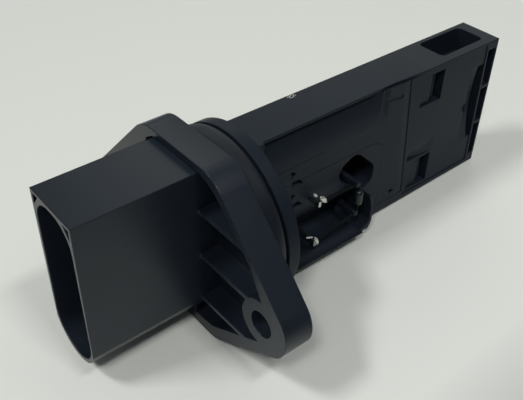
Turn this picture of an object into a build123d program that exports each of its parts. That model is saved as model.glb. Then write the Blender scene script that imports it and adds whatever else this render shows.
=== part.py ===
from build123d import *
import math
import os

os.makedirs("parts", exist_ok=True)

# Frame, in millimetres: the origin is on the collar's axis in the flange's
# seating face. +X runs down the probe to its tip, +Z across the blade to the
# edge with the air inlet, and -Y is the side that carries the covers.

# ---- driving dimensions ----------------------------------------------------
FLANGE_T = 5.6          # flange thickness, X -5.6..0
FLANGE_R = 6.75         # flange's two upper corners
EAR_Y, EAR_Z, EAR_R = 22.7, -3.45, 6.1
HOLE_R = 2.5            # two ear holes
BOSS_R = 4.85
RIB_Z = (9.2, -0.5, -10.6)
RIB_HALF = 0.4
POCKET_FLOOR = -1.6     # X of the floor of the flange's front pockets
SHROUD_X = -27.6        # mouth of the connector shroud
SHROUD_W = 6.3          # half width
SHROUD_TOP, SHROUD_EDGE, SHROUD_BOT = 17.1, -11.0, -15.5
SOCKET_X = -7.5         # floor of the socket
WALL = 0.8
GROOVE_R = 12.4         # floor of the ring groove
COLLAR_R = 17.0         # shoulder behind the ring
COLLAR_X0, COLLAR_X1 = 5.2, 7.6
RING_R, RING_r = 14.8, 2.4
RING_SIDES = 8          # the ring's round section is drawn with flats
RING_X = 2.7
BLADE_Y = 4.8           # half thickness
BLADE_Z0, BLADE_Z1 = -15.75, 15.4
TIP_X = 73.8
FIT = 0.05              # gap a side between covers and body
GUARD_Y = -9.0          # top of the wall that guards the air-temperature bay
BAY_WALL_Z = -13.9      # inner face of that wall
BAY_FLOOR_Y = 0.4
ROLL_R, ROLL_Z = 5.2, -3.4   # rounded shoulder that leads into the bay
LID_TOP = 14.9          # upper edge of both covers
LID_Y, COVER_Y = -2.8, -3.3   # their seats
COVER_FACE = -4.65
PLATE_Y = 3.3           # seat of the base plate
LEAD_Y = -6.9           # plane of the thermistor's leads
LEAD_R = 0.25


def box(x0, x1, y0, y1, z0, z1):
    return Pos((x0 + x1) / 2, (y0 + y1) / 2, (z0 + z1) / 2) * Box(
        abs(x1 - x0), abs(y1 - y0), abs(z1 - z0)
    )


def belt(circles):
    """Face bounded by the outer tangents of circles (a, b, r), anticlockwise."""
    n = len(circles)
    touch = []
    for i in range(n):
        a, b, r = circles[i]
        c, d, s = circles[(i + 1) % n]
        dx, dy = c - a, d - b
        length = math.hypot(dx, dy)
        dx, dy = dx / length, dy / length
        sine = (r - s) / length
        cosine = math.sqrt(1 - sine * sine)
        nx = dy * cosine + dx * sine
        ny = -dx * cosine + dy * sine
        touch.append(((a + r * nx, b + r * ny), (c + s * nx, d + s * ny)))
    edges = []
    for i in range(n):
        start, end = touch[i]
        edges.append(Line(start, end))
        c, d, s = circles[(i + 1) % n]
        nxt = touch[(i + 1) % n][0]
        if s > 1e-6 and math.hypot(end[0] - nxt[0], end[1] - nxt[1]) > 1e-6:
            a0 = math.atan2(end[1] - d, end[0] - c)
            a1 = math.atan2(nxt[1] - d, nxt[0] - c)
            while a1 < a0:
                a1 += 2 * math.pi
            mid = (a0 + a1) / 2
            edges.append(
                ThreePointArc(end, (c + s * math.cos(mid), d + s * math.sin(mid)), nxt)
            )
    return make_face(edges)


def along_x(face, x0, x1):
    """A face drawn in (Y, Z), extruded from x0 to x1."""
    return Pos(x0, 0, 0) * extrude(Plane.YZ * face, amount=x1 - x0)


def along_y(face, y0, y1):
    """A face drawn in (X, Z), extruded from y0 to y1, y0 < y1."""
    return Pos(0, y1, 0) * extrude(Plane.XZ * face, amount=y1 - y0)


def poly(points):
    return make_face(Polyline(*points, close=True))


def xcyl(x0, x1, r, y=0.0, z=0.0):
    return Pos((x0 + x1) / 2, y, z) * Rot(0, 90, 0) * Cylinder(r, x1 - x0)


def ycyl(y0, y1, r, x, z):
    return Pos(x, (y0 + y1) / 2, z) * Rot(90, 0, 0) * Cylinder(r, y1 - y0)


def zcyl(z0, z1, r, x, y):
    return Pos(x, y, (z0 + z1) / 2) * Cylinder(r, z1 - z0)


def wire(points, r, bend):
    """A wire along a polyline with rounded bends, its round section drawn with eight sides."""
    line = FilletPolyline(*points, radius=bend)
    return sweep(Plane(origin=line @ 0, z_dir=line % 0) * RegularPolygon(r, 8), path=line)


# ---- flange ----------------------------------------------------------------
outline = belt(
    [
        (-EAR_Y, EAR_Z, EAR_R),
        (-8.2, -12.35, 6.0),
        (8.2, -12.35, 6.0),
        (EAR_Y, EAR_Z, EAR_R),
        (6.755, 11.9, FLANGE_R),
        (-7.5, 11.8, FLANGE_R + 0.1),
    ]
)
flange = along_x(outline, -FLANGE_T, 0)

# front pockets; the far one leaves a broader rim beside the shroud
pocket_floor = [(21.9, -8.25), (9.4, -15.5), (6.9, -15.95), (4.0, -15.95)]
near_rim = [(4.0, 17.35), (7.4, 17.35), (10.4, 16.0), (13.0, 13.7), (19.4, 7.2), (22.7, 1.4)]
far_rim = [(4.0, 17.35), (6.4, 17.35), (8.3, 16.1), (9.7, 13.4), (13.4, 10.5), (19.0, 6.2), (22.3, 1.4)]
boss = Pos(EAR_Y, EAR_Z) * Circle(BOSS_R)
near_pocket = mirror(poly(near_rim + [(22.7, EAR_Z)] + pocket_floor) - boss, about=Plane.YZ)
far_pocket = poly(far_rim + [(22.7, EAR_Z)] + pocket_floor) - boss
pockets = along_x(near_pocket, -FLANGE_T - 1, POCKET_FLOOR) + along_x(
    far_pocket, -FLANGE_T - 1, POCKET_FLOOR
)
for z in RIB_Z:
    pockets = pockets - box(-FLANGE_T, 0, -30, 30, z - RIB_HALF, z + RIB_HALF)
flange = flange - pockets

# ---- connector shroud ------------------------------------------------------
shroud_face = make_face(
    [
        Line((-SHROUD_W, SHROUD_EDGE), (-SHROUD_W, SHROUD_TOP)),
        Line((-SHROUD_W, SHROUD_TOP), (SHROUD_W, SHROUD_TOP)),
        Line((SHROUD_W, SHROUD_TOP), (SHROUD_W, SHROUD_EDGE)),
        ThreePointArc(
            (SHROUD_W, SHROUD_EDGE), (0, SHROUD_BOT), (-SHROUD_W, SHROUD_EDGE)
        ),
    ]
)
shroud = along_x(shroud_face, SHROUD_X, -1.0)
socket_face = belt(
    [(0, -8.84, 6.66 - WALL), (0.6, 11.4, 4.9), (-0.6, 11.4, 4.9)]
)
socket = along_x(socket_face, SHROUD_X - 1, SOCKET_X)
corner = poly([(5.7, 16.5), (3.9, 16.5), (5.7, 14.3)])
corners = along_x(corner, SHROUD_X - 1, SHROUD_X + 7) + along_x(
    mirror(corner, about=Plane.YZ), SHROUD_X - 1, SHROUD_X + 7
)

# ---- collar and blade ------------------------------------------------------
collar = xcyl(-1, COLLAR_X1, GROOVE_R) + xcyl(COLLAR_X0, COLLAR_X1, COLLAR_R)
blade = box(COLLAR_X1 - 1, TIP_X, -BLADE_Y, BLADE_Y, BLADE_Z0, BLADE_Z1)

# raised wall that guards the air-temperature sensor; its outer corner follows
# the collar so that the probe still passes through the port
guard_z, guard_r = (BLADE_Z0 + BAY_WALL_Z) / 2, (BAY_WALL_Z - BLADE_Z0) / 2
guard = along_y(belt([(7.0, guard_z, guard_r), (32.4, guard_z, guard_r)]), GUARD_Y, -3.0)
guard_arc = make_face(
    [
        ThreePointArc((32.4, -15.75), (34.9, -14.85), (36.0, -12.4)),
        Line((36.0, -12.4), (36.0, -9.4)),
        ThreePointArc((36.0, -9.4), (35.2, -6.0), (33.5, -2.9)),
        Line((33.5, -2.9), (32.5, -3.4)),
        ThreePointArc((32.5, -3.4), (34.1, -6.3), (34.8, -9.4)),
        Line((34.8, -9.4), (34.8, -12.4)),
        ThreePointArc((34.8, -12.4), (34.1, -13.5), (32.4, BAY_WALL_Z)),
        Line((32.4, BAY_WALL_Z), (32.4, -15.75)),
    ]
)
guard = (guard + along_y(guard_arc, -8.2, -3.0)) & xcyl(0, 60, COLLAR_R - 0.2)

body = flange + shroud + collar + blade + guard

# ---- recesses in the covered side -----------------------------------------
# air-temperature bay: a half pipe along the lower edge and a scooped hollow
roll = ROLL_R * math.sqrt(0.5)
half_pipe = along_x(
    make_face(
        [
            Line((-10, ROLL_Z), (BAY_FLOOR_Y - ROLL_R, ROLL_Z)),
            ThreePointArc(
                (BAY_FLOOR_Y - ROLL_R, ROLL_Z),
                (BAY_FLOOR_Y - roll, ROLL_Z - roll),
                (BAY_FLOOR_Y, ROLL_Z - ROLL_R),
            ),
            Line((BAY_FLOOR_Y, ROLL_Z - ROLL_R), (BAY_FLOOR_Y, -10.6)),
            ThreePointArc((BAY_FLOOR_Y, -10.6), (-0.6, -12.9), (-2.9, BAY_WALL_Z)),
            Line((-2.9, BAY_WALL_Z), (-10, BAY_WALL_Z)),
            Line((-10, BAY_WALL_Z), (-10, ROLL_Z)),
        ]
    ),
    COLLAR_X1,
    36,
)
pipe = half_pipe & along_y(
    make_face(
        [
            Line((COLLAR_X1, -3.0), (COLLAR_X1, BAY_WALL_Z)),
            Line((COLLAR_X1, BAY_WALL_Z), (32.4, BAY_WALL_Z)),
            ThreePointArc((32.4, BAY_WALL_Z), (34.6, -13.4), (35.4, -12.2)),
            Line((35.4, -12.2), (35.4, -9.4)),
            ThreePointArc((35.4, -9.4), (34.6, -6.2), (33.0, -3.2)),
            Line((33.0, -3.2), (31.0, -3.0)),
            Line((31.0, -3.0), (COLLAR_X1, -3.0)),
        ]
    ),
    -10,
    2,
)
hollow = along_y(
    belt([(31.3, -0.2, 2.6), (36.2, -4.2, 2.3), (36.0, -3.0, 2.6), (32.6, 0.6, 2.4)]),
    -9,
    1.4,
) & zcyl(-12, 8, 8.2, 36.5, -7.0)
# posts that carry the thermistor's leads
lead_posts = box(31.2, 32.3, -7.3, 2.0, -2.95, -1.85) + box(
    31.5, 32.6, -7.3, 2.0, -10.35, -9.25
)
body = body - pipe - hollow + lead_posts

# seat of the electronics cover
lid_points = [
    (9.4, 3.6),
    (9.4, LID_TOP),
    (46.55, LID_TOP),
    (49.05, -13.6),
    (40.6, -13.6),
    (40.6, 2.2),
    (38.0, 3.6),
]
lid_face = poly(lid_points)
body = body - along_y(lid_face, -BLADE_Y - 1, LID_Y)
# the edge above the cover is set back
set_back = poly([(9.4, -4.2), (42.0, -4.2), (52.0, -BLADE_Y), (52.0, -6.0), (9.4, -6.0)])
body = body - Pos(0, 0, LID_TOP - 0.01) * extrude(Plane.XY * set_back, amount=2)

# electronics chamber, open to both sides, and the plate's seat in the back
chamber = box(11.0, 45.0, LID_Y - 0.1, 3.4, 4.6, 13.6) + box(
    41.5, 47.0, LID_Y - 0.1, 3.4, -3.2, 13.6
)
plate_face = poly(
    [(9.8, 3.2), (9.8, 14.4), (48.0, 14.4), (48.0, -5.0), (40.2, -5.0), (40.2, 3.2)]
)
plate_seat = along_y(plate_face, PLATE_Y, BLADE_Y + 1)
body = body - chamber - plate_seat

# bypass channel, its cover's seat, the inlet and the outlet
cover_points = [
    (46.56, LID_TOP),
    (70.25, LID_TOP),
    (71.15, -14.8),
    (49.16, -14.8),
]
body = body - along_y(poly(cover_points), -BLADE_Y - 1, COVER_Y)
inlet = Pos(64.4, 0.5) * RectangleRounded(13.0, 6.6, 1.1)
last_run = poly([(67.3, 9.7), (70.4, 9.7), (71.0, -10.5), (67.3, -10.5)])
channel = (
    Pos(0, 0, 10.2) * extrude(inlet, amount=BLADE_Z1 + 1 - 10.2)
    + box(58.5, 66.1, COVER_Y - 0.1, 3.8, -10.5, 12.5)
    + along_y(last_run, COVER_Y - 0.1, 3.8)
    + along_y(belt([(61.0, -10.5, 2.5), (68.0, -10.5, 2.5)]), COVER_Y - 0.1, 3.8)
)
body = body - channel
# slot for the chip carrier, from the chamber into the channel
body = body - box(46.9, 58.8, -0.1, 0.9, -2.6, 2.6)
body = body - box(46.9, 49.6, -0.1, 3.4, -2.6, 2.6)
# hooks in the two latch windows
hook_slope = Pos(55.3, -4.6, 0) * Rot(0, 0, -28) * Box(3.0, 1.4, 40)
for z0, z1 in ((6.9, 13.6), (-14.0, -6.9)):
    body = body - box(50.2, 57.0, COVER_Y - 0.1, -2.0, z0 - 0.3, z1 + 0.3)
    body = body + (box(50.6, 55.2, -4.15, -2.0, z0, z1) - hook_slope)

# cells in the tip, between two ribs
cell_face = poly([(70.85, 13.5), (73.4, 13.5), (73.4, -13.6), (71.7, -13.6)])
cells = along_y(cell_face, -BLADE_Y - 1, -2.0)
for z in (4.4, -4.8):
    cells = cells - box(70, TIP_X, -BLADE_Y, 0, z - 0.4, z + 0.4)
body = body - cells

body = body - socket - corners
for side in (-1, 1):
    body = body - xcyl(-FLANGE_T - 1, 1, HOLE_R, y=side * EAR_Y, z=EAR_Z)

# ---- terminals: stamped strips moulded into the body ----------------------
TERM_Y0, TERM_Y1 = 1.2, 1.84
HALF = 0.75


def strip(points, width):
    """Constant-width strip in (X, Z) along square corners."""
    out = None
    for (a, b), (c, d) in zip(points[:-1], points[1:]):
        h = width / 2
        part = box(
            min(a, c) - h, max(a, c) + h, TERM_Y0, TERM_Y1, min(b, d) - h, max(b, d) + h
        )
        out = part if out is None else out + part
    return out


PIN_X = -18.0
boards = {2: 6.0, 3: 7.9, 4: 9.8, 5: 11.6}
pins = {1: -9.0, 2: -4.5, 3: 0.0, 4: 4.5, 5: 9.0}
jog = {2: 3.4, 3: 1.6, 4: -0.2, 5: -2.0}
terminals = {}
for i, z in pins.items():
    if i == 1:
        solid = strip([(PIN_X, z), (3.4, z), (3.4, -11.5), (20.4, -11.5)], 1.2)
    else:
        solid = strip([(PIN_X, z), (jog[i], z), (jog[i], boards[i]), (12.2, boards[i])], 1.2)
    if i == 2:
        solid = solid + strip([(jog[2], z), (9.5, z), (9.5, -1.9), (20.9, -1.9)], 1.2)
    # lead-in at the free end of the pin
    for sign in (-1, 1):
        solid = solid - along_y(
            poly(
                [
                    (PIN_X - 1.0, z + sign * 0.12),
                    (PIN_X + 0.6, z + sign * 0.68),
                    (PIN_X - 1.0, z + sign * 0.68),
                ]
            ),
            0,
            3,
        )
    terminals[i] = solid
POST_TOP = -7.5
terminals[1] = terminals[1] + box(20.4, 21.0, POST_TOP, TERM_Y1, -12.1, -10.9)
terminals[2] = terminals[2] + box(20.9, 21.5, POST_TOP, TERM_Y1, -2.5, -1.3)
for solid in terminals.values():
    body = body - solid

# ---- air-temperature thermistor -------------------------------------------
BEAD = (32.6, LEAD_Y, -6.1)
BEAD_R, BEAD_HALF = 0.95, 0.95
upper_path = [(21.5, -1.9), (23.0, -1.9), (31.6, -2.4), (32.6, -3.3), (32.6, -5.6)]
lower_path = [(21.0, -11.5), (22.5, -11.5), (31.7, -9.8), (32.6, -9.0), (32.6, -6.6)]
lead_upper = wire([(x, LEAD_Y, z) for x, z in upper_path], LEAD_R, 0.6)
lead_lower = wire([(x, LEAD_Y, z) for x, z in lower_path], LEAD_R, 0.6)
bead = Pos(*BEAD) * (Cylinder(BEAD_R, 2 * BEAD_HALF) + Pos(0, 0, BEAD_HALF) * Sphere(BEAD_R))
bead = bead + Pos(BEAD[0], BEAD[1], BEAD[2] - BEAD_HALF) * Sphere(BEAD_R)
bead = bead - lead_upper - lead_lower
body = body - lead_upper - lead_lower

# ---- covers ----------------------------------------------------------------
lid = along_y(offset(lid_face, amount=-FIT), -BLADE_Y, LID_Y)
# wide trough, deepest at the upper edge, that fades out below and to the right
trough_slope = make_face(
    [
        ThreePointArc((-BLADE_Y, 7.2), (-4.45, 11.0), (-3.1, 15.1)),
        Line((-3.1, 15.1), (-6.0, 15.1)),
        Line((-6.0, 15.1), (-6.0, 7.2)),
        Line((-6.0, 7.2), (-BLADE_Y, 7.2)),
    ]
)
trough_run_out = poly([(8.0, -6.0), (8.0, -3.0), (33.5, -3.0), (40.6, -BLADE_Y), (40.6, -6.0)])
lid = lid - (along_x(trough_slope, 8, 42) & extrude(Plane.XY * trough_run_out, amount=20))
groove = poly([(36.0, 14.2), (36.0, 12.9), (44.6, 11.5), (44.6, 12.3)])
lid = lid - along_y(groove, -BLADE_Y - 1, -4.66)
# the right-hand edge slopes down to the level of the channel cover
edge = Plane(origin=(46.55, 0, LID_TOP), x_dir=(28.5, 0, 2.5), z_dir=(2.5, 0, -28.5))
slope = edge * poly([(-1.7, BLADE_Y), (0.0, 4.66), (0.5, 4.62), (0.5, 6.0), (-1.7, 6.0)])
lid = lid - extrude(slope, amount=32) - extrude(slope, amount=-3)
marks = [
    [(15.9, 6.5), (17.3, 5.7), (16.0, 4.8)],
    [(16.3, 4.0), (18.1, 3.9), (19.1, 2.6), (17.7, 3.1), (16.3, 2.6)],
    [(16.2, 1.2), (17.3, 0.5), (16.2, -0.2)],
    [(16.5, -1.4), (18.0, -1.2), (19.2, -2.5), (17.8, -2.3), (16.5, -2.5)],
    [(17.4, -5.9), (18.9, -6.1), (18.1, -6.8)],
    [(44.4, -11.1), (46.3, -11.9), (44.8, -12.4)],
]
for mark in marks:
    cut = along_y(poly(mark), -BLADE_Y - 1, -4.2)
    lid = lid - cut
    body = body - cut

cover = along_y(offset(poly(cover_points), amount=-FIT), COVER_FACE, COVER_Y)
for z0, z1 in ((6.8, 13.7), (-14.1, -6.8)):
    cover = cover - box(50.5, 57.0, -6, 0, z0, z1)
# shaded ledge above the lower window
ledge = poly([(COVER_FACE, -2.8), (-4.05, -6.2), (-6.0, -6.2), (-6.0, -2.8)])
ledge_run_out = poly([(49.3, -4.0), (57.4, COVER_FACE), (57.4, -6.0), (49.3, -6.0)])
cover = cover - (along_x(ledge, 49.3, 57.4) & extrude(Plane.XY * ledge_run_out, amount=-20))
# outlet slot along the right-hand edge, and the soft scoop that leads to it
slot = poly([(68.6, 10.4), (71.0, 10.4), (71.8, -8.0), (69.6, -8.0)])
cover = cover - along_y(slot, -6, 0)
cover = cover - (zcyl(-9.0, 11.0, 5.0, 69.6, -8.7) & xcyl(60, 75, 50.0, y=-53.75, z=1.2))
cover = cover - along_y(poly([(65.2, 2.1), (67.6, 2.3), (66.5, -0.4)]), -6, -4.25)

# ---- base plate, board and the parts on it ---------------------------------
plate = along_y(offset(plate_face, amount=-FIT), PLATE_Y, BLADE_Y)
carrier_path = [
    (41.8, 3.3),
    (41.8, 2.5),
    (46.3, 2.5),
    (48.8, 0.0),
    (63.2, 0.0),
    (63.2, 0.8),
    (49.13, 0.8),
    (46.63, 3.3),
]
carrier = Pos(0, 0, -2.5) * extrude(Plane.XY * poly(carrier_path), amount=5.0)
sensing_chip = box(59.9, 62.5, -0.45, 0.0, -1.5, 1.5)
board = box(13.2, 40.8, 2.65, PLATE_Y, 5.0, 13.2)
signal_chip = box(24.0, 29.6, 1.85, 2.65, 6.6, 11.6)
trim_chip = box(32.2, 35.0, 2.05, 2.65, 9.4, 12.0)
capacitors = [
    box(17.2, 19.2, 1.75, 2.65, 6.2, 7.4),
    box(17.2, 19.2, 1.75, 2.65, 10.8, 12.0),
    box(32.4, 34.4, 1.75, 2.65, 6.2, 7.4),
    box(37.2, 39.2, 1.75, 2.65, 8.4, 9.6),
]
gel = box(15.6, 40.8, 1.4, 2.65, 5.0, 13.2)
for piece in [signal_chip, trim_chip, *capacitors]:
    gel = gel - piece

flat = RegularPolygon(RING_r, RING_SIDES, major_radius=False, rotation=180 / RING_SIDES)
ring = revolve(Plane.XZ * (Pos(RING_X, RING_R) * flat), Axis.X)

# bond ribbons, from the terminals to the board
RIBBON_W, RIBBON_T = 0.5, 0.12
ribbon_face = make_face(
    [
        Polyline((11.9, TERM_Y0), (11.9, 0.9), (12.5, 0.3), (13.9, 0.3), (14.5, 0.9), (14.5, 2.65)),
        Line((14.5, 2.65), (14.5 - RIBBON_T, 2.65)),
        Polyline(
            (14.5 - RIBBON_T, 2.65),
            (14.5 - RIBBON_T, 0.95),
            (13.85, 0.3 + RIBBON_T),
            (12.55, 0.3 + RIBBON_T),
            (11.9 + RIBBON_T, 0.95),
            (11.9 + RIBBON_T, TERM_Y0),
        ),
        Line((11.9 + RIBBON_T, TERM_Y0), (11.9, TERM_Y0)),
    ]
)
bond = {}
for i, z in boards.items():
    bond[i] = Pos(0, 0, z - RIBBON_W / 2) * extrude(ribbon_face, amount=RIBBON_W)

nodes = {
    "sensor_body": body,
    "sealing_ring": ring,
    "electronics_cover": lid,
    "channel_cover": cover,
    "base_plate": plate,
    "circuit_board": board,
    "signal_chip": signal_chip,
    "trim_chip": trim_chip,
    "chip_carrier": carrier,
    "sensing_chip": sensing_chip,
    "protective_gel": gel,
    "thermistor_bead": bead,
    "thermistor_lead_upper": lead_upper,
    "thermistor_lead_lower": lead_lower,
}
for i, solid in enumerate(capacitors, 1):
    nodes[f"capacitor_{i}"] = solid
for i, solid in terminals.items():
    nodes[f"terminal_{i}"] = solid
for i, solid in bond.items():
    nodes[f"bond_ribbon_{i}"] = solid

for name, shape in nodes.items():
    solids = shape.solids()
    print(name, len(solids), [round(s.volume, 2) for s in solids][:4])
    export_step(shape if len(solids) != 1 else solids[0], f"parts/{name}.step")
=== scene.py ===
import bmesh
import bpy
import math
from mathutils import Matrix, Vector


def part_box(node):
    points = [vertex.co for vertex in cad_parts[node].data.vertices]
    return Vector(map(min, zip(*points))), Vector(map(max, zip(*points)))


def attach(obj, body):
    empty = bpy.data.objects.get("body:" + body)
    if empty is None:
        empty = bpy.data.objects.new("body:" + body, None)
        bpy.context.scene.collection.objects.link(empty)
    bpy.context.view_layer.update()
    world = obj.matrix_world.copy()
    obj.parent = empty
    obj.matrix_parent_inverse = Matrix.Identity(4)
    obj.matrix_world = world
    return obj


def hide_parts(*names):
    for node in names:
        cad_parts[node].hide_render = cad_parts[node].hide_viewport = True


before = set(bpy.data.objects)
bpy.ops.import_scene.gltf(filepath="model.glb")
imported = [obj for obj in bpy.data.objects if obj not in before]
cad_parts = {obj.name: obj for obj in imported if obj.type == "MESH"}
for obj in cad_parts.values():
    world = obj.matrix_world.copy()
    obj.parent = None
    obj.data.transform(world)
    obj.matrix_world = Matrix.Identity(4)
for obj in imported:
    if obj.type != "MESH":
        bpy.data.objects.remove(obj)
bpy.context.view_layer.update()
MM = 0.001


# ---- colour and node helpers ------------------------------------------------
def linear(hex_value):
    """An sRGB hex colour as linear RGBA."""
    channels = [int(hex_value[i : i + 2], 16) / 255 for i in (0, 2, 4)]
    return [
        c / 12.92 if c <= 0.04045 else ((c + 0.055) / 1.055) ** 2.4 for c in channels
    ] + [1.0]


def add(tree, kind, settings=None, **links):
    """One node with its settings, and its inputs set to values or linked to sockets.

    An input is named by its label, with _ for a space, or by its place: i0, i1 and so on."""
    node = tree.nodes.new(kind)
    for name, value in (settings or {}).items():
        setattr(node, name, value)
    for name, value in links.items():
        by_place = name[0] == "i" and name[1:].isdigit()
        socket = node.inputs[int(name[1:]) if by_place else name.replace("_", " ")]
        if isinstance(value, bpy.types.NodeSocket):
            tree.links.new(value, socket)
        else:
            socket.default_value = value
    return node


def calc(tree, operation, a, b=0.0):
    """One arithmetic node on two values or sockets."""
    return add(tree, "ShaderNodeMath", {"operation": operation}, i0=a, i1=b).outputs[0]


def mix(tree, factor, colour_a, colour_b):
    """A blend of two colours, each given in sRGB hex or as a socket."""
    a, b = (linear(c) if isinstance(c, str) else c for c in (colour_a, colour_b))
    return add(tree, "ShaderNodeMix", {"data_type": "RGBA"}, i0=factor, i6=a, i7=b).outputs[2]


def vector_calc(tree, operation, a, b=None):
    """One vector arithmetic node."""
    links = {"i0": a} if b is None else {"i0": a, "i1": b}
    return add(tree, "ShaderNodeVectorMath", {"operation": operation}, **links)


def object_place(tree):
    """Coordinates that stay with the piece."""
    return add(tree, "ShaderNodeTexCoord").outputs["Object"]


def axes_of(tree, place):
    """The X, Y and Z of a position."""
    return add(tree, "ShaderNodeSeparateXYZ", Vector=place).outputs


def noise(tree, place, size_mm, detail):
    """Cloudy pattern whose features are about this many millimetres across."""
    return add(
        tree, "ShaderNodeTexNoise", Vector=place, Scale=1 / (size_mm * MM), Detail=detail
    ).outputs["Fac"]


def new_material(name, **shader_values):
    """A material with its shader's plain sockets set, ready for patterns."""
    material = bpy.data.materials.new(name)
    material.use_nodes = True
    tree = material.node_tree
    shader = tree.nodes["Principled BSDF"]
    for socket, value in shader_values.items():
        shader.inputs[socket.replace("_", " ")].default_value = value
    return material, tree, shader


# ---- materials --------------------------------------------------------------
GRAIN_MM, GRAIN_DEPTH_MM, GRAIN_STRENGTH = 0.42, 0.003, 0.35
EDGE_SAMPLES = 6
CLOUD_MM = 9.0
SCUFF_AT_MM, SCUFF_HALF_MM, SCUFF_FLAKE_MM = (23.3, 4.2, 15.4), (1.0, 0.5, 0.4), 0.3
# The blade's end of the tool is eroded coarser than the plug's end. Between these two X, in mm,
# the finish turns duller: first value at the plug, second at the blade.
GLOSSY_TO_X, DULL_FROM_X = -5.2, 3.0
MIRROR_LEVEL = (0.38, 0.13)
ROUGHNESS = (0.28, 0.38)
GRAIN_ROUGHNESS = 0.08


def moulded_black_plastic(name, edge_radius_mm, relief_of=None):
    """Glass-filled PBT moulded against a spark-eroded tool: near-black, even, with a fine matt
    grain that spreads the light. The real grain is about 0.1 mm and is drawn coarser to show."""
    material, tree, shader = new_material(name, IOR=1.44)
    place = object_place(tree)
    colour = mix(tree, noise(tree, place, CLOUD_MM, 3.0), "1a212a", "222932")
    # a small scuff on the blade's upper edge shows paler, freshly scraped glass fibre
    offset = vector_calc(tree, "SUBTRACT", place, Vector(SCUFF_AT_MM) * MM).outputs[0]
    offset = vector_calc(tree, "DIVIDE", offset, Vector(SCUFF_HALF_MM) * MM).outputs[0]
    reach = vector_calc(tree, "LENGTH", offset).outputs["Value"]
    flakes = calc(tree, "GREATER_THAN", noise(tree, place, SCUFF_FLAKE_MM, 1.0), 0.5)
    scuffed = calc(tree, "MULTIPLY", calc(tree, "LESS_THAN", reach, 1.0), flakes)
    tree.links.new(mix(tree, scuffed, colour, "a9aaa6"), shader.inputs["Base Color"])

    grain = noise(tree, place, GRAIN_MM, 2.0)
    along = axes_of(tree, place)["X"]

    def plug_to_blade(values):
        return add(
            tree,
            "ShaderNodeMapRange",
            Value=along,
            From_Min=GLOSSY_TO_X * MM,
            From_Max=DULL_FROM_X * MM,
            To_Min=values[0],
            To_Max=values[1],
        ).outputs["Result"]

    tree.links.new(plug_to_blade(MIRROR_LEVEL), shader.inputs["Specular IOR Level"])
    rough = calc(
        tree, "ADD", plug_to_blade(ROUGHNESS), calc(tree, "MULTIPLY", grain, GRAIN_ROUGHNESS)
    )
    tree.links.new(rough, shader.inputs["Roughness"])

    normal = add(
        tree, "ShaderNodeBevel", {"samples": EDGE_SAMPLES}, Radius=edge_radius_mm * MM
    ).outputs["Normal"]
    if relief_of:
        normal = add(
            tree,
            "ShaderNodeBump",
            {"invert": True},
            Height=relief_of(tree, place),
            Normal=normal,
            Strength=1.0,
            Distance=MM,
        ).outputs["Normal"]
    normal = add(
        tree,
        "ShaderNodeBump",
        Height=grain,
        Normal=normal,
        Strength=GRAIN_STRENGTH,
        Distance=GRAIN_DEPTH_MM * MM,
    ).outputs["Normal"]
    tree.links.new(normal, shader.inputs["Normal"])
    return material


# the bay's lower wall, in mm: where it is rounded, from which Y outwards and how fast
BAY_X, BAY_BELOW_Z = (7.7, 32.5), -8.0
BAY_ROUND_FROM_Y, BAY_ROUNDING = -5.6, 0.17


def bay_wall_relief(tree, place):
    """Depth in mm by which the bay's lower wall rounds over towards its free edge."""
    axes = axes_of(tree, place)
    out = calc(tree, "SUBTRACT", BAY_ROUND_FROM_Y, calc(tree, "DIVIDE", axes["Y"], MM))
    curve = calc(tree, "POWER", calc(tree, "MAXIMUM", out, 0.0), 2.0)
    past_collar = calc(tree, "GREATER_THAN", axes["X"], BAY_X[0] * MM)
    before_end = calc(tree, "LESS_THAN", axes["X"], BAY_X[1] * MM)
    low = calc(tree, "LESS_THAN", axes["Z"], BAY_BELOW_Z * MM)
    here = calc(tree, "MULTIPLY", calc(tree, "MULTIPLY", past_collar, before_end), low)
    return calc(tree, "MULTIPLY", calc(tree, "MULTIPLY", curve, BAY_ROUNDING), here)


# the trough of the left cover, in mm
TROUGH_LOW_Z, TROUGH_END_X, TROUGH_CORNER = 7.2, 39.4, 4.4
TROUGH_LIP, TROUGH_LIP_WIDE = -0.12, 0.4
TROUGH_DEEP, TROUGH_HIGH = 1.7, 7.9             # its curve: so deep, so far above its low edge
RUN_OUT_X, RUN_OUT_DEEP, RUN_OUT_LONG = 40.6, 1.8, 7.1   # its modelled slope at the end


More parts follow.
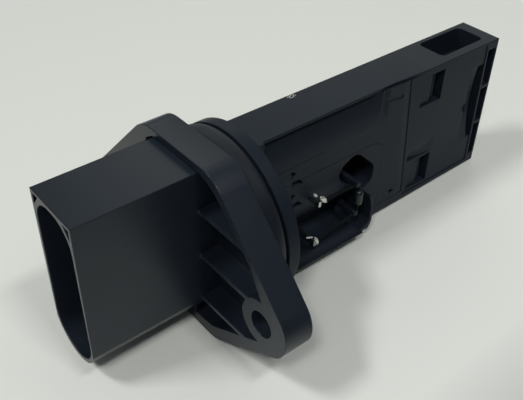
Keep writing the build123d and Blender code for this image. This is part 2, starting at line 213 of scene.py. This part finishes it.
def trough_relief(tree, place):
    """Depth in mm, beyond the modelled trough, of its small lip and its rounded right-hand end."""
    axes = axes_of(tree, place)
    x = calc(tree, "DIVIDE", axes["X"], MM)
    z = calc(tree, "DIVIDE", axes["Z"], MM)

    def squared_past(value, start):
        return calc(
            tree, "POWER", calc(tree, "MAXIMUM", calc(tree, "SUBTRACT", value, start), 0.0), 2.0
        )

    # distance inside an outline whose lower right corner is rounded by TROUGH_CORNER
    across = squared_past(x, TROUGH_END_X - TROUGH_CORNER)
    below = calc(tree, "SUBTRACT", TROUGH_LOW_Z + TROUGH_CORNER, z)
    below = calc(tree, "POWER", calc(tree, "MAXIMUM", below, 0.0), 2.0)
    reach = calc(tree, "SQRT", calc(tree, "ADD", across, below))
    inside = calc(tree, "SUBTRACT", TROUGH_CORNER, reach)

    def entry(width):
        """0 at the outline, and 1 from this far inside it."""
        return add(
            tree,
            "ShaderNodeMapRange",
            {"interpolation_type": "SMOOTHSTEP"},
            Value=inside,
            From_Min=0.0,
            From_Max=width,
        ).outputs["Result"]

    # the modelled trough runs out in a flat slope; this carries its curve on to the end
    rise = squared_past(z, TROUGH_LOW_Z)
    curve = calc(tree, "MULTIPLY", rise, TROUGH_DEEP / TROUGH_HIGH**2)
    slope = calc(
        tree, "MULTIPLY", calc(tree, "SUBTRACT", RUN_OUT_X, x), RUN_OUT_DEEP / RUN_OUT_LONG
    )
    missing = calc(tree, "MAXIMUM", calc(tree, "SUBTRACT", curve, slope), 0.0)
    lip = calc(tree, "MULTIPLY", entry(TROUGH_LIP_WIDE), TROUGH_LIP)
    return calc(tree, "ADD", lip, calc(tree, "MULTIPLY", entry(TROUGH_CORNER), missing))


def patterned(name, shader_values, colours, size_mm, detail, roughness=None):
    """A material whose colour, and roughness if given, vary with one fine pattern."""
    material, tree, shader = new_material(name, **shader_values)
    pattern = noise(tree, object_place(tree), size_mm, detail)
    tree.links.new(mix(tree, pattern, *colours), shader.inputs["Base Color"])
    if roughness:
        sheen = add(
            tree, "ShaderNodeMapRange", Value=pattern, To_Min=roughness[0], To_Max=roughness[1]
        )
        tree.links.new(sheen.outputs["Result"], shader.inputs["Roughness"])
    return material


def nitrile_rubber():
    """Moulded nitrile: satin black with a faint greyish bloom."""
    return patterned("nitrile_rubber", {"IOR": 1.36}, ("131920", "1a2129"), 2.5, 4.0, (0.45, 0.55))


def bright_metal(name, colour_a, colour_b, rough_low, rough_high, patch_mm):
    """Metal with a slightly uneven surface: brighter and duller patches of the given size."""
    return patterned(
        name, {"Metallic": 1.0}, (colour_a, colour_b), patch_mm, 3.0, (rough_low, rough_high)
    )


def speckled(name, colour_a, colour_b, rough, speck_mm, ior=1.5):
    """Fired or moulded small parts: fine speckle of two close colours."""
    return patterned(name, {"IOR": ior, "Roughness": rough}, (colour_a, colour_b), speck_mm, 3.0)


# the moulding: satin at the plug, duller on the blade, with soft edges that catch the light
housing_black = moulded_black_plastic("glass_filled_pbt_housing", 0.3, bay_wall_relief)
# the covers: the same plastic with sharper edges
cover_black = moulded_black_plastic("glass_filled_pbt_cover", 0.06)
lid_black = moulded_black_plastic("glass_filled_pbt_lid", 0.06, trough_relief)
# the seal: softer and more even than the plastic round it
seal_black = nitrile_rubber()
# contacts and welds: the only bright points on the covered side
tinned_contact = bright_metal("tinned_bronze_contact", "c9c8c4", "a9a8a2", 0.18, 0.36, 0.6)
weld_tin = bright_metal("solidified_tin", "f0f0ec", "d2d2cc", 0.3, 0.6, 0.5)
# the leads' near-black colour is painted shade that sinks them into the bay's shade; the bead all
# but vanishes in the bay too
lead_painted_shade = speckled("lead_in_painted_shade", "080b0a", "0d1110", 0.7, 0.6, ior=1.25)
bead_glass = speckled("glass_bead", "0c1a18", "142624", 0.34, 0.7, ior=1.45)
# the back plate: cold, pale and slightly streaked
plate_metal = bright_metal("rolled_aluminium_plate", "b9bbbd", "a4a6a8", 0.28, 0.42, 1.2)
# adhesive between the covers: a smooth fine line
joint_black = speckled("black_epoxy_joint", "1a212a", "222932", 0.42, 0.6, ior=1.4)
# inside: warm grey steel, white ceramic, dull black chips, tan capacitors, milky gel
carrier_metal = bright_metal("stainless_carrier", "b0aea8", "9d9b95", 0.25, 0.38, 1.0)
bond_metal = bright_metal("aluminium_ribbon", "d6d6d6", "c2c2c2", 0.2, 0.3, 0.5)
board_white = speckled("alumina_board", "dcdcd2", "cfcfc4", 0.55, 0.4)
chip_black = speckled("epoxy_chip_package", "101112", "17181a", 0.4, 0.3)
capacitor_tan = speckled("fired_capacitor_ceramic", "8f7355", "a38664", 0.45, 0.3)
silicon_blue = speckled("polished_silicon", "1c2030", "262b3d", 0.12, 0.8, ior=2.0)
gel_clear = speckled("silicone_gel", "8d9894", "97a29e", 0.15, 1.5, ior=1.41)

# finish of each node, by the start of its name
FINISH = {
    "sensor_body": housing_black,
    "sealing_ring": seal_black,
    "electronics_cover": lid_black,
    "channel_cover": cover_black,
    "base_plate": plate_metal,
    "circuit_board": board_white,
    "signal_chip": chip_black,
    "trim_chip": chip_black,
    "chip_carrier": carrier_metal,
    "sensing_chip": silicon_blue,
    "protective_gel": gel_clear,
    "capacitor": capacitor_tan,
    "terminal": tinned_contact,
    "bond_ribbon": bond_metal,
    "thermistor_bead": bead_glass,
    "thermistor_lead": lead_painted_shade,
}
for node_name, node_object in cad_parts.items():
    finish = next(FINISH[start] for start in FINISH if node_name.startswith(start))
    node_object.data.materials.clear()
    node_object.data.materials.append(finish)


# ---- new pieces ---------------------------------------------------------------
def keep(shape, name, material, smooth=True):
    """A new piece, fixed to the part, from a finished bmesh."""
    mesh = bpy.data.meshes.new(name)
    shape.to_mesh(mesh)
    shape.free()
    mesh.polygons.foreach_set("use_smooth", [smooth] * len(mesh.polygons))
    mesh.materials.append(material)
    piece = bpy.data.objects.new(name, mesh)
    bpy.context.scene.collection.objects.link(piece)
    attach(piece, "root")
    return piece


RING_FULLNESS = 4.2      # 2 is a round section, higher is squarer
RING_MARGIN_MM = 0.03    # kept clear of the groove's sides
SECTION_STEPS, TURN_STEPS = 36, 144


def sealing_ring():
    """The ring squeezed in its groove: a full, slightly squared section turned about X."""
    low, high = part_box("sealing_ring")
    half = (high.x - low.x) / 2 - RING_MARGIN_MM * MM
    centre_x = (high.x + low.x) / 2
    ring_radius = high.z - (high.x - low.x) / 2
    shape = bmesh.new()
    outline = []
    for i in range(SECTION_STEPS):
        turn = 2 * math.pi * i / SECTION_STEPS
        c, s = math.cos(turn), math.sin(turn)
        reach = half / (abs(c) ** RING_FULLNESS + abs(s) ** RING_FULLNESS) ** (1 / RING_FULLNESS)
        outline.append(shape.verts.new((centre_x + reach * c, 0, ring_radius + reach * s)))
    rim = [
        shape.edges.new((outline[i], outline[(i + 1) % SECTION_STEPS]))
        for i in range(SECTION_STEPS)
    ]
    bmesh.ops.spin(
        shape,
        geom=outline + rim,
        cent=(0, 0, 0),
        axis=(1, 0, 0),
        dvec=(0, 0, 0),
        angle=2 * math.pi,
        steps=TURN_STEPS,
        use_merge=True,
    )
    bmesh.ops.recalc_face_normals(shape, faces=shape.faces)
    piece = keep(shape, "sealing_ring_round", seal_black)
    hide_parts("sealing_ring")


sealing_ring()

# ---- welds of the thermistor's leads ----------------------------------------
WELD_SWELL, WELD_FLAT = 0.12, 0.8   # unevenness of a bead, and its height against its width


def weld(name, start_mm, end_mm, thick_mm):
    """A flattened, uneven bead of solidified tin, longest from start to end."""
    start, end = Vector(start_mm) * MM, Vector(end_mm) * MM
    shape = bmesh.new()
    bmesh.ops.create_icosphere(shape, subdivisions=3, radius=1.0)
    for corner in shape.verts:
        swell = 1 + WELD_SWELL * math.sin(9 * corner.co.x + 2 * corner.co.z)
        corner.co = Vector(
            (
                corner.co.x * (end - start).length / 2,
                corner.co.y * thick_mm * MM * WELD_FLAT * swell,
                corner.co.z * thick_mm * MM * swell,
            )
        )
    across = Vector((0, -1, 0))
    along = (end - start).normalized()
    turn = Matrix((along, across, along.cross(across))).transposed()
    bmesh.ops.transform(
        shape, verts=shape.verts, matrix=Matrix.Translation((start + end) / 2) @ turn.to_4x4()
    )
    keep(shape, name, weld_tin)


weld("weld_upper", (21.2, -7.4, -0.1), (22.9, -7.4, -2.1), 0.55)
weld("weld_upper_tail", (19.4, -7.35, 1.4), (20.4, -7.35, 0.4), 0.3)
weld("weld_lower", (20.6, -7.4, -9.9), (21.6, -7.4, -12.3), 0.5)
weld("weld_lower_tail", (18.3, -7.35, -8.8), (20.2, -7.35, -9.6), 0.22)

# ---- joint between the covers -----------------------------------------------
JOINT_HALF_MM, JOINT_FACE_Y, JOINT_BACK_Y = 0.11, -4.668, -3.4


def joint_line(top_mm, low_mm):
    """Cured adhesive that fills the joint between the two covers up to their faces."""
    shape = bmesh.new()
    corners = []
    for x, z in (top_mm, low_mm):
        for side in (-JOINT_HALF_MM, JOINT_HALF_MM):
            for y in (JOINT_FACE_Y, JOINT_BACK_Y):
                corners.append(shape.verts.new(Vector((x + side, y, z)) * MM))
    bmesh.ops.convex_hull(shape, input=corners)
    keep(shape, "cover_joint", joint_black, smooth=False)


joint_line((46.57, 14.7), (49.03, -13.4))

# ---- table ------------------------------------------------------------------
# The part stands on the flange's lower rim and the blade's tip.
TABLE_AT_FLANGE = -18.37 * MM
TABLE_SLOPE = 0.0352
TABLE_HALF = 1.4            # half its width, in metres
MOTTLE_PER_METRE = 6        # clouds of its colour
# painted shade on the table's near part: it starts at the first Y and is full at the second
SHADE_FROM_Y, SHADE_FULL_AT_Y = -42.0, -90.0   # mm, across the table


def table_top():
    """A pale laminated table, level with the rims that the part rests on, with painted shade on
    its near part.
    """
    shape = bmesh.new()
    bmesh.ops.create_grid(shape, x_segments=1, y_segments=1, size=TABLE_HALF)
    for corner in shape.verts:
        corner.co.z = TABLE_AT_FLANGE + TABLE_SLOPE * corner.co.x
    mesh = bpy.data.meshes.new("table_top")
    shape.to_mesh(mesh)
    shape.free()
    material, tree, shader = new_material("white_laminate", Roughness=0.55)
    place = object_place(tree)
    pale = mix(tree, noise(tree, place, 1000 / MOTTLE_PER_METRE, 2.0), "e9ebe4", "eef0e9")
    # painted shade: the near part of the table is darkened, so that the covers and their trough
    # mirror a darker surround
    nearness = add(
        tree,
        "ShaderNodeMapRange",
        Value=axes_of(tree, place)["Y"],
        From_Min=SHADE_FROM_Y * MM,
        From_Max=SHADE_FULL_AT_Y * MM,
    ).outputs["Result"]
    tree.links.new(mix(tree, nearness, pale, "4a4c4e"), shader.inputs["Base Color"])
    mesh.materials.append(material)
    piece = bpy.data.objects.new("table_top", mesh)
    bpy.context.scene.collection.objects.link(piece)


table_top()

# ---- camera -----------------------------------------------------------------
# Rows of the camera's turn: its right, its down and its forward direction.
CAMERA_AT = Vector((-58.302, -84.566, 87.227)) * MM
CAMERA_RIGHT = Vector((0.77341, -0.63364, 0.01818))
CAMERA_DOWN = Vector((-0.38552, -0.49294, -0.77999))
FOCAL_IN_WIDTHS = 751.18 / 523
SENSOR_MM = 36.0


def studio_camera():
    """The main camera, at the part's covered side."""
    data = bpy.data.cameras.new("studio_camera")
    data.sensor_width = SENSOR_MM
    data.lens = SENSOR_MM * FOCAL_IN_WIDTHS
    data.clip_start = 0.01
    data.clip_end = 20
    camera = bpy.data.objects.new("studio_camera", data)
    right = CAMERA_RIGHT.normalized()
    up = (-CAMERA_DOWN).normalized()
    back = right.cross(up)
    turn = Matrix((right, up, back)).transposed().to_4x4()
    camera.matrix_world = Matrix.Translation(CAMERA_AT) @ turn
    bpy.context.scene.collection.objects.link(camera)
    bpy.context.scene.camera = camera


studio_camera()


# ---- light ------------------------------------------------------------------
CENTRE = Vector((0.02, 0.0, 0.0))
LAMP_DISTANCE = 1.2
CEILING_RISE = (0.1, 0.6)    # heights of a unit direction between which the room pales
WALL_EDGE = (0.86, 0.98)     # cosines between which the pale wall fades in


def toward(azimuth, elevation):
    """Unit vector for a heading in degrees from +X and a height in degrees above the table."""
    turn, rise = math.radians(azimuth), math.radians(elevation)
    level = math.cos(rise)
    return Vector((level * math.cos(turn), level * math.sin(turn), math.sin(rise)))


def panel(name, azimuth, elevation, size, watts):
    """A rectangular lamp, size in metres, aimed at the part."""
    data = bpy.data.lights.new(name, "AREA")
    data.shape = "RECTANGLE"
    data.size, data.size_y = size
    data.energy = watts
    lamp = bpy.data.objects.new(name, data)
    way = toward(azimuth, elevation)
    lamp.location = CENTRE + way * LAMP_DISTANCE
    lamp.rotation_mode = "QUATERNION"
    lamp.rotation_quaternion = (-way).to_track_quat("-Z", "Y")
    bpy.context.scene.collection.objects.link(lamp)


panel("ceiling_left", 157, 56, (0.26, 0.14), 4.8)
panel("ceiling_left_front", 216, 54, (0.18, 0.16), 3.3)
panel("ceiling_front", 272, 61, (0.20, 0.10), 3.0)
panel("ceiling_right", 330, 50, (0.90, 0.70), 1.1)


def room(floor_level, ceiling, wall, wall_way):
    """A room that is dim near the table's height, paler above, with one bright wall."""
    world = bpy.data.worlds.new("room")
    bpy.context.scene.world = world
    world.use_nodes = True
    tree = world.node_tree
    way = add(tree, "ShaderNodeTexCoord").outputs["Generated"]
    rise = add(
        tree,
        "ShaderNodeMapRange",
        Value=axes_of(tree, way)["Z"],
        From_Min=CEILING_RISE[0],
        From_Max=CEILING_RISE[1],
    ).outputs["Result"]
    facing = vector_calc(tree, "DOT_PRODUCT", way, wall_way).outputs["Value"]
    nearness = add(
        tree,
        "ShaderNodeMapRange",
        {"interpolation_type": "SMOOTHSTEP"},
        Value=facing,
        From_Min=WALL_EDGE[0],
        From_Max=WALL_EDGE[1],
    ).outputs["Result"]
    shade = mix(tree, nearness, mix(tree, rise, floor_level, ceiling), wall)
    background = tree.nodes["Background"]
    tree.links.new(shade, background.inputs["Color"])
    background.inputs["Strength"].default_value = 1.0


room("25292f", "55595a", "f4f8ee", toward(42, 28))
bpy.context.scene.view_settings.view_transform = "Standard"
